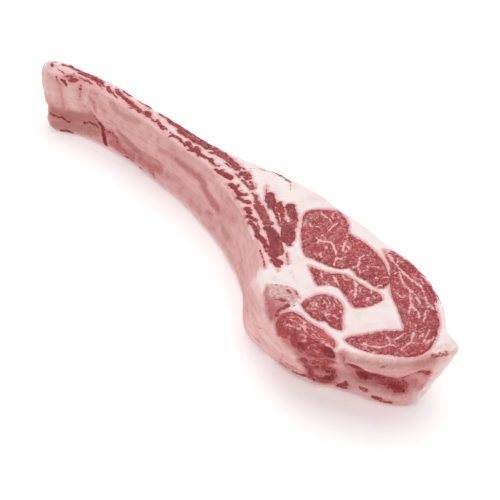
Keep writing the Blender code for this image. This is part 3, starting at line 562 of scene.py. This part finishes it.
def strengthOf(kind, place):
    # the strongest mark at a place, 0 where there is none
    tree, dots = laid[kind]
    found = tree.find_range(stirred(place), markReach["strength"] * mm)
    end, core = falloff.get(kind, plainFalloff)
    return max((dots[i][2] * softStep(end - away / mm / dots[i][1], 0.0, end - core) for _, i, away in found),
               default=0.0)


# Ranges over which a side, a face or an edge fades in, of the normal's parts or in mm
fades = {
    "seenSide": (0.1, 0.4), "seenUpright": (0.6, 0.8), "seenHeight": (1.0, 4.0),
    "farSide": (0.3, 0.6), "farUpright": (0.75, 0.9),
    "meatEdge": (-0.5, 0.8), "cutFace": (0.55, 0.85), "markEdge": (-0.8, 1.2), "veinEdge": (-0.8, 0.6),
    "tip": (180.0, 200.0), "wallColour": (0.6, 0.95), "frontColour": (-0.2, 0.4),
}


def fade(kind, value):
    return softStep(value, *fades[kind])


def waveAt(place, share, wave):
    height, size, seed = wave
    return share * height * noise.noise(place / (size * mm) + Vector((seed, seed * 1.7, -seed)))


def seenSide(place, normal):
    # 1 on the sides that the camera sees, where the marks alone place the meat
    side = fade("seenSide", -normal.y) * (1.0 - fade("seenUpright", abs(normal.z)))
    return side * fade("seenHeight", place.z / mm)


# Meat that runs over the far edge onto the hidden side, in mm
farMeat = {
    "bands": ((-215.0, -5.0, 41.0), (150.0, 186.0, 44.0)),  # from and to along the steak, lower edge
    "stir": (7.0, 14.0, 21.0), "fineStir": (2.5, 4.0, 23.0),  # height, size, seed
    "slope": 0.6,
    "outside": 8.0,
}
seenOutside = 30.0  # mm by which the solids' meat is put out of the seen sides


def farDepth(place, normal, look):
    side = fade("farSide", normal.y) * (1.0 - fade("farUpright", abs(normal.z)))
    if side == 0.0:
        return -look["outside"]
    across, height = place.x / mm, place.z / mm
    stir = waveAt(place, 1.0, look["stir"]) + waveAt(place, 1.0, look["fineStir"])
    reach = max(min(across - start, end - across, height - edge) for start, end, edge in look["bands"])
    return (reach + stir) * look["slope"] - look["outside"] * (1.0 - side)


def leanDepth(place, normal):
    # mm into the meat, whether of a solid, a mark or the hidden side
    depth = solidDepth(place) - seenOutside * seenSide(place, normal)
    return max(depth, inside("meat", place), farDepth(place, normal, farMeat))


# Relief of the skin, in mm. A wave is its height, its size and its seed.
reliefRecipe = {
    "seamDepth": 0.55, "seamReach": 1.3,
    "meatGrain": (0.22, 2.4, 3.0), "meatSwell": (0.35, 7.0, 5.0),
    "fatGrain": (0.10, 3.5, 7.0), "fatWave": (0.35, 16.0, 9.0),
    "wallStreak": 0.5, "wallStreakLength": 26.0, "wallStreakHeight": 4.5,
    "wallWave": (0.7, 15.0, 11.0), "wallGrain": (0.18, 3.2, 17.0), "roughWall": (0.55, 4.5, 13.0),
    "tipLump": (0.6, 6.0, 15.0),
    "markRise": 0.35, "veinDip": 0.15,
}


def reliefAt(place, normal, look):
    depth = leanDepth(place, normal)
    meat = fade("meatEdge", depth)
    cutFace = fade("cutFace", abs(normal.z))
    wall = 1.0 - cutFace
    rise = -look["seamDepth"] * math.exp(-(depth / look["seamReach"]) ** 2)
    rise += waveAt(place, meat, look["meatGrain"])
    rise += waveAt(place, meat, look["meatSwell"])
    rise += waveAt(place, 1.0 - meat, look["fatGrain"])
    rise += waveAt(place, (1.0 - meat) * cutFace, look["fatWave"])
    if wall > 0.0:
        length, height = look["wallStreakLength"], look["wallStreakHeight"]
        along = Vector((place.x / length, place.y / length, place.z / height)) / mm
        rise += wall * look["wallStreak"] * noise.noise(along)
        rise += waveAt(place, wall, look["wallWave"])
        rise += waveAt(place, wall, look["wallGrain"])
        rise += waveAt(place, meat * wall, look["roughWall"])
    rise += waveAt(place, fade("tip", -place.x / mm), look["tipLump"])
    rise += look["markRise"] * fade("markEdge", inside("meat", place)) * (cutFace - wall)
    rise += strengthOf("ridges", place) - strengthOf("dents", place)
    rise -= look["veinDip"] * fade("veinEdge", inside("veins", place))
    return rise


def shapeRelief(made, recipe, look):
    low, high = cadBox
    shape = bmesh.new()
    shape.from_mesh(made.data)
    shape.normal_update()
    for v in shape.verts:
        rise = reliefAt(v.co, v.normal, look) - recipe["settle"]
        moved = v.co + v.normal * rise * mm
        for axis in range(3):
            moved[axis] = min(max(moved[axis], low[axis]), high[axis])
        v.co = moved
    bmesh.ops.recalc_face_normals(shape, faces=shape.faces)
    shape.to_mesh(made.data)
    shape.free()


shapeRelief(skin, skinRecipe, reliefRecipe)
print("relief in the skin")

# Cutting the skin into one piece for each solid
cutRecipe = {
    "reach": 0.9 * mm,      # a cutter's point this near to the skin lies in it
    "standOut": 3.5 * mm,   # and is moved out of it by this
}
pieceNames = {
    "rib_bone": "ribAndItsSkin",
    "upper_rib_muscle": "meatOnRibTop",
    "lower_rib_muscle": "meatOnRibFoot",
    "outer_rib_muscle": "meatBehindRib",
    "eye_muscle": "eyeMeat",
    "lower_eye_muscle": "lowerEyeMeat",
    "cap_muscle": "capMeat",
    "round_muscle": "roundMeat",
    "chine_muscle": "cornerMeat",
    "wedge_muscle": "wedgeMeat",
    "small_wedge_muscle": "smallWedgeMeat",
    "under_muscle": "grooveMeat",
    "rib_head_bone": "ribHead",
}


def makeCutter(node, recipe):
    shape = solidShape(node)
    moves = []
    for v in shape.verts:
        _, normal, _, away = skinTree.find_nearest(v.co)
        if away < recipe["reach"]:
            moves.append((v, normal * recipe["standOut"]))
    for v, move in moves:
        v.co += move
    return makeObject(shape, "cutter")


pieces = {}
for node, name in pieceNames.items():
    cutter = makeCutter(node, cutRecipe)
    piece = bpy.data.objects.new(name, skin.data.copy())
    bpy.context.scene.collection.objects.link(piece)
    for made, operation in ((piece, "INTERSECT"), (skin, "DIFFERENCE")):
        applyModifier(made, "BOOLEAN", {"solver": "MANIFOLD", "operation": operation, "object": cutter})
    dropObject(cutter)
    pieces[node] = piece
skin.name = "fatOfTheSteak"
pieces[fatNode] = skin
print("triangles:", {piece.name: sum(len(face.vertices) - 2 for face in piece.data.polygons)
                     for piece in pieces.values()})


def tone(red, green, blue):
    # a colour as an eye dropper gives it, 0 to 255, made linear
    shares = (v / 255 for v in (red, green, blue))
    return (*(v / 12.92 if v < 0.04045 else ((v + 0.055) / 1.055) ** 2.4 for v in shares), 1.0)


# Marks laid over the pale side, and from "dark" on over the meat too: the colour and how ragged it is
marksOver = {
    "bone": (None, 0.7), "rosy": (tone(224, 172, 168), 0.5), "flush": (tone(192, 102, 103), 0.6),
    # the tan colour is mostly painted shade, partly the skin's own brownish tone
    "tanAndShade": (tone(186, 118, 109), 0.6), "pale": (tone(236, 208, 200), 0.8),
    "dark": (tone(128, 30, 37), 0.8), "blood": (tone(142, 34, 42), 1.3),
}

sharpAngle = math.radians(38)


# What each point of a piece knows, read by the materials
def writeValues(piece):
    mesh = piece.data
    mesh.shade_smooth()
    mesh.set_sharp_from_angle(angle=sharpAngle)
    overlays = [kind for kind in marks if kind in marksOver]
    values = {name: [] for name in ("lean", "wall", "front", *overlays)}
    for v in mesh.vertices:
        place = v.co
        normal = skinTree.find_nearest(place)[1]
        values["lean"].append(min(leanDepth(place, normal), -inside("veins", place)))
        for kind in overlays:
            values[kind].append(strengthOf(kind, place))
        values["wall"].append(1.0 - fade("wallColour", abs(normal.z)))
        values["front"].append(fade("frontColour", -normal.y))
    for name, numbers in values.items():
        mesh.attributes.new(name, "FLOAT", "POINT").data.foreach_set("value", numbers)


for piece in pieces.values():
    writeValues(piece)
print("values written")


# Materials
class Wire:
    # a socket's output that takes part in sums
    def __init__(self, finish, socket):
        self.finish = finish
        self.socket = socket

    def sum(self, operation, first, second):
        return self.finish.node("Math", {"operation": operation}, {0: first, 1: second})

    def __add__(self, other):
        return self.sum("ADD", self, other)

    def __radd__(self, other):
        return self.sum("ADD", other, self)

    def __sub__(self, other):
        return self.sum("SUBTRACT", self, other)

    def __rsub__(self, other):
        return self.sum("SUBTRACT", other, self)

    def __mul__(self, other):
        return self.sum("MULTIPLY", self, other)

    def __rmul__(self, other):
        return self.sum("MULTIPLY", other, self)

    def least(self, other):
        return self.sum("MINIMUM", self, other)

    def step(self, low, high):
        settings = {"interpolation_type": "SMOOTHSTEP"}
        return self.finish.node("MapRange", settings, {"Value": self, "From Min": low, "From Max": high})


class Finish:
    # one material, with the nodes that its makers ask for
    def __init__(self, name):
        self.material = bpy.data.materials.new(name)
        self.material.use_nodes = True
        self.tree = self.material.node_tree
        self.shader = self.tree.nodes["Principled BSDF"]
        self.place = self.scaled(self.node("TexCoord", output="Object"), (1 / mm,) * 3)

    def node(self, kind, settings=None, inputs=None, output=0):
        made = self.tree.nodes.new("ShaderNode" + kind)
        for name, value in (settings or {}).items():
            setattr(made, name, value)
        for name, value in (inputs or {}).items():
            self.feed(made.inputs[name], value)
        return Wire(self, made.outputs[output])

    def feed(self, socket, value):
        if isinstance(value, Wire):
            self.tree.links.new(value.socket, socket)
        else:
            socket.default_value = value

    def scaled(self, vector, scale):
        return self.node("VectorMath", {"operation": "MULTIPLY"}, {0: vector, 1: scale})

    def noise(self, size, detail, seed, place=None, output="Fac"):
        settings = {"noise_dimensions": "4D"}
        inputs = {"Vector": place or self.place, "W": seed, "Scale": 1 / size, "Detail": detail}
        return self.node("TexNoise", settings, inputs, output)

    def pattern(self, name, size=None, place=None):
        # 0 to 1, for one of the patterns below
        ownSize, detail, seed, low, high = patterns[name]
        return self.noise(size or ownSize, detail, seed, place).step(low, high)

    def swing(self, name):
        # about -1 to 1, for one of the swings below
        return (self.noise(*swings[name]) - 0.5) * 2.0

    def seams(self, size, place):
        # mm to the nearest border between cells of that size
        settings = {"feature": "DISTANCE_TO_EDGE"}
        return self.node("TexVoronoi", settings, {"Vector": place, "Scale": 1 / size}) * size

    def warped(self, size, amount, seed):
        stir = self.noise(size, 1.0, seed, output="Color")
        stir = self.node("VectorMath", {"operation": "SUBTRACT"}, {0: stir, 1: (0.5, 0.5, 0.5)})
        stir = self.scaled(stir, (amount * 2,) * 3)
        return self.node("VectorMath", {"operation": "ADD"}, {0: self.place, 1: stir})

    def value(self, name):
        return self.node("Attribute", {"attribute_name": name}, output="Fac")

    def mix(self, share, first, second):
        return self.node("Mix", {"data_type": "RGBA"}, {0: share, 6: first, 7: second}, output=2)


# Colours as they show in soft light, and how much of each detail a finish has
plainLook = {
    "pale": tone(242, 228, 225), "paleBlotch": tone(237, 217, 213), "blotchSize": 12.0,
    "wallPale": tone(244, 194, 191), "backPale": tone(242, 225, 221), "wallBlotch": tone(216, 149, 146),
    "fringe": tone(228, 170, 168), "fringeReach": 2.8,
    "flesh": tone(166, 53, 60), "deep": tone(148, 44, 51), "fleck": tone(220, 138, 141),
    "veinPale": tone(230, 184, 182),
    # the wall flesh and wall fringe colours are painted shade: meat and its fringe darker on the side walls
    # than on top
    "shadedWallFringe": tone(198, 122, 119), "shadedWallFlesh": tone(146, 46, 50), "stain": tone(206, 124, 124),
    "grain": 0.8, "bigVein": 0.0, "smallVein": 0.0,
    "streak": 0.75, "streakLength": 20.0, "streakHeight": 3.5,
    "edgeStir": 1.3, "leastRoughness": 0.38, "roughnessSwing": 0.25, "bump": 0.4,
}
looks = {
    "fat": {},
    "rib_skin": {
        "pale": tone(224, 172, 169), "paleBlotch": tone(216, 158, 155), "wallPale": tone(232, 178, 174),
        "wallBlotch": tone(206, 142, 138), "backPale": tone(232, 178, 174), "streak": 0.9,
    },
    "cut_bone": {"pale": tone(228, 194, 190), "paleBlotch": tone(200, 142, 142), "blotchSize": 3.0},
    "lean": {"bigVein": 0.75, "smallVein": 0.4},
    "dark_lean": {
        "flesh": tone(156, 60, 66), "deep": tone(126, 40, 46), "bigVein": 0.3, "smallVein": 0.3, "grain": 0.6,
        "fleck": tone(196, 116, 119),
    },
    "bloody_lean": {
        "flesh": tone(188, 70, 77), "deep": tone(162, 50, 57), "bigVein": 0.5, "smallVein": 0.4,
        "pale": tone(232, 176, 174), "paleBlotch": tone(216, 152, 150),
        # here too the wall flesh and wall fringe colours are painted shade on the side walls
        "wallPale": tone(238, 184, 181), "shadedWallFlesh": tone(176, 62, 67), "shadedWallFringe": tone(206, 128, 126),
    },
}

# Noise patterns: size in mm (none where the look gives it), detail, seed, and the values between which
# they fade in
patterns = {
    "blotch": (None, 4.0, 1.0, 0.45, 0.68), "streak": (1.0, 3.0, 2.0, 0.42, 0.72),
    "mottle": (6.0, 4.0, 14.0, 0.42, 0.7), "fleshPatch": (9.0, 3.0, 4.0, 0.4, 0.64),
    "fleck": (1.7, 2.0, 5.0, 0.53, 0.61), "fleckCrowd": (6.0, 2.0, 6.0, 0.32, 0.62),
    "bigGap": (8.0, 1.0, 8.0, 0.35, 0.6), "smallGap": (5.0, 1.0, 10.0, 0.46, 0.68),
    "boneMottle": (2.6, 3.0, 30.0, 0.4, 0.62), "boneSpeck": (1.4, 2.0, 31.0, 0.58, 0.68),
    "floorSpeck": (60.0, 2.0, 20.0, 0.3, 0.7),
}
# Noise that swings a value: size in mm, detail and seed
swings = {"meatEdge": (2.2, 3.0, 3.0), "markEdge": (1.9, 4.0, 11.0)}
# Noise of the wetness and of the bump, in the same way
plainNoise = {"wet": (5.0, 2.0, 12.0), "bump": (1.5, 3.0, 13.0)}
# A place's stir before a pattern reads it: size and amount in mm, seed
stirs = {"fleck": (4.0, 1.5, 15.0), "bigVein": (7.0, 4.0, 7.0), "smallVein": (3.0, 1.6, 9.0)}
# Veins between the drawn ones: they are full below the first height in mm and thin above the second
veinNet = {
    "heights": (22.0, 44.0), "bigSize": 13.0, "smallSize": 4.6, "thinner": 0.15, "edge": (-0.1, 0.45),
    "lowShare": 0.7, "topShare": 0.2,
}
# How much of each layer shows over the ones under it
shares = {
    # the wall flesh share is how strongly painted shade darkens the meat on the side walls
    "streak": 0.6, "mottle": 0.5, "crowd": 0.6, "loneFleck": 0.4, "shadedWallFlesh": 0.6, "fringe": 0.9,
    "mark": 0.95, "darkOnMeat": 0.85, "stain": 0.8, "boneSpeck": 0.6,
    "bumpFine": 0.6, "bumpFleck": 0.3, "bumpMottle": 0.5,
}
edges = {"meat": (-0.3, 0.6), "stain": (0.0, 0.5), "blood": (0.2, 1.0)}
boneTones = {"light": tone(226, 190, 186), "dim": tone(198, 140, 140), "speck": tone(158, 82, 88)}
shaderSettings = {
    "Subsurface Weight": 0.12, "Subsurface Radius": (1.0, 0.4, 0.3), "Subsurface Scale": 1.5 * mm,
    "Specular IOR Level": 0.3,
}
bumpDistance = 0.5 * mm


def boneShade(finish):
    mottled = finish.mix(finish.pattern("boneMottle"), boneTones["light"], boneTones["dim"])
    return finish.mix(finish.pattern("boneSpeck") * shares["boneSpeck"], mottled, boneTones["speck"])


def paleShade(finish, look, mottle):
    # fat, rib skin or bone
    top = finish.mix(finish.pattern("blotch", look["blotchSize"]), look["pale"], look["paleBlotch"])
    wall = finish.mix(finish.value("front"), look["backPale"], look["wallPale"])
    length = 1 / look["streakLength"]
    streaks = finish.scaled(finish.place, (length, length, 1 / look["streakHeight"]))
    streak = finish.pattern("streak", place=streaks)
    streak = (streak * shares["streak"] + mottle * shares["mottle"]) * look["streak"]
    return finish.mix(finish.value("wall"), top, finish.mix(streak, wall, look["wallBlotch"]))


def veinMask(finish, look):
    height = finish.node("SeparateXYZ", None, {0: finish.place}, "Z")
    hidden = 1 - height.step(*veinNet["heights"])
    big = finish.seams(veinNet["bigSize"], finish.warped(*stirs["bigVein"]))
    big = big - finish.pattern("bigGap") * look["bigVein"] + veinNet["thinner"]
    small = finish.seams(veinNet["smallSize"], finish.warped(*stirs["smallVein"]))
    small = small - finish.pattern("smallGap") * look["smallVein"] + veinNet["thinner"]
    veins = 1 - big.least(small).step(*veinNet["edge"])
    return veins * (hidden * veinNet["lowShare"] + veinNet["topShare"])


def meatShade(finish, look, fleck):
    flesh = finish.mix(finish.pattern("fleshPatch"), look["flesh"], look["deep"])
    crowd = finish.pattern("fleckCrowd") * shares["crowd"] + shares["loneFleck"]
    flesh = finish.mix(fleck * crowd * look["grain"], flesh, look["fleck"])
    if look["bigVein"]:
        flesh = finish.mix(veinMask(finish, look), flesh, look["veinPale"])
    # painted shade: the flesh darkens on the side walls
    return finish.mix(finish.value("wall") * shares["shadedWallFlesh"], flesh, look["shadedWallFlesh"])


def makeFinish(slot, look):
    finish = Finish(slot)
    mottle = finish.pattern("mottle")
    fleck = finish.pattern("fleck", place=finish.warped(*stirs["fleck"]))
    depth = finish.value("lean") + finish.swing("meatEdge") * look["edgeStir"]
    meat = depth.step(*edges["meat"])
    flesh = meatShade(finish, look, fleck)
    ragged = finish.swing("markEdge")
    colour = paleShade(finish, look, mottle)
    for kind, (shade, share) in marksOver.items():
        amount = (finish.value(kind) * (1 + ragged * share)).step(0.0, 1.0)
        if kind == "dark":
            # the meat comes in under this mark, with a fringe where it meets the pale side
            fringe = (depth + look["fringeReach"]).step(0.0, look["fringeReach"])
            # painted shade: the fringe darkens on the side walls
            fringeShade = finish.mix(finish.value("wall"), look["fringe"], look["shadedWallFringe"])
            colour = finish.mix(fringe * shares["fringe"], colour, fringeShade)
            colour = finish.mix(meat, colour, flesh)
            amount = amount * meat * shares["darkOnMeat"]
        if kind == "blood":
            colour = finish.mix(amount.step(*edges["stain"]) * shares["stain"], colour, look["stain"])
            amount = amount.step(*edges["blood"])
        colour = finish.mix(amount * shares["mark"], colour, shade or boneShade(finish))
    finish.feed(finish.shader.inputs["Base Color"], colour)
    wet = finish.noise(*plainNoise["wet"]) * look["roughnessSwing"] + look["leastRoughness"]
    finish.feed(finish.shader.inputs["Roughness"], wet)
    height = finish.noise(*plainNoise["bump"]) * shares["bumpFine"]
    height = height + fleck * shares["bumpFleck"] + mottle * shares["bumpMottle"]
    bump = finish.node("Bump", None, {"Strength": look["bump"], "Distance": bumpDistance, "Height": height})
    finish.feed(finish.shader.inputs["Normal"], bump)
    for name, value in shaderSettings.items():
        finish.shader.inputs[name].default_value = value
    return finish.material


finishes = {slot: makeFinish(slot, {**plainLook, **changes}) for slot, changes in looks.items()}
slotOf = {
    "fat": "fat", "rib_bone": "rib_skin", "rib_head_bone": "cut_bone",
    "eye_muscle": "lean", "lower_eye_muscle": "lean", "cap_muscle": "lean", "round_muscle": "lean",
    "wedge_muscle": "lean", "small_wedge_muscle": "lean",
    "outer_rib_muscle": "dark_lean", "upper_rib_muscle": "dark_lean", "lower_rib_muscle": "dark_lean",
    "chine_muscle": "bloody_lean", "under_muscle": "bloody_lean",
}
for node, piece in pieces.items():
    piece.data.materials.clear()
    piece.data.materials.append(finishes[slotOf[node]])
    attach(piece, "root")
    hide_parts(node)
print("materials on")

# Floor and light
studio = {
    "floorSize": 3.0, "floorCells": 8, "floorDrop": 0.2 * mm, "floorGlow": 0.15, "floorRoughness": 0.8,
    "floorTone": tone(254, 254, 254), "floorSpeck": tone(252, 252, 252),
    "worldStrength": 0.72,
    "keyPower": 14.0, "keySize": 1.6, "keyPlace": (-0.5, 0.6, 1.6),
}


def makeStudio(look):
    shape = bmesh.new()
    cells = look["floorCells"]
    bmesh.ops.create_grid(shape, x_segments=cells, y_segments=cells, size=look["floorSize"])
    bmesh.ops.translate(shape, verts=shape.verts, vec=(0.0, 0.0, -look["floorDrop"]))
    floor = makeObject(shape, "studioFloor")
    finish = Finish("paleFloor")
    floorShade = finish.mix(finish.pattern("floorSpeck"), look["floorTone"], look["floorSpeck"])
    finish.feed(finish.shader.inputs["Base Color"], floorShade)
    finish.shader.inputs["Roughness"].default_value = look["floorRoughness"]
    finish.shader.inputs["Emission Color"].default_value = (1.0, 1.0, 1.0, 1.0)
    finish.shader.inputs["Emission Strength"].default_value = look["floorGlow"]
    floor.data.materials.append(finish.material)
    world = bpy.data.worlds.new("studioWorld")
    world.use_nodes = True
    backdrop = world.node_tree.nodes["Background"]
    backdrop.inputs["Color"].default_value = (1.0, 1.0, 1.0, 1.0)
    backdrop.inputs["Strength"].default_value = look["worldStrength"]
    bpy.context.scene.world = world
    lamp = bpy.data.lights.new("keyLight", "AREA")
    lamp.energy = look["keyPower"]
    lamp.size = look["keySize"]
    key = bpy.data.objects.new("keyLight", lamp)
    key.location = look["keyPlace"]
    key.rotation_euler = (-Vector(look["keyPlace"])).to_track_quat("-Z", "Y").to_euler()
    bpy.context.scene.collection.objects.link(key)
    bpy.context.scene.view_settings.view_transform = "Standard"
    bpy.context.scene.view_settings.look = "None"


makeStudio(studio)
print("studio ready")
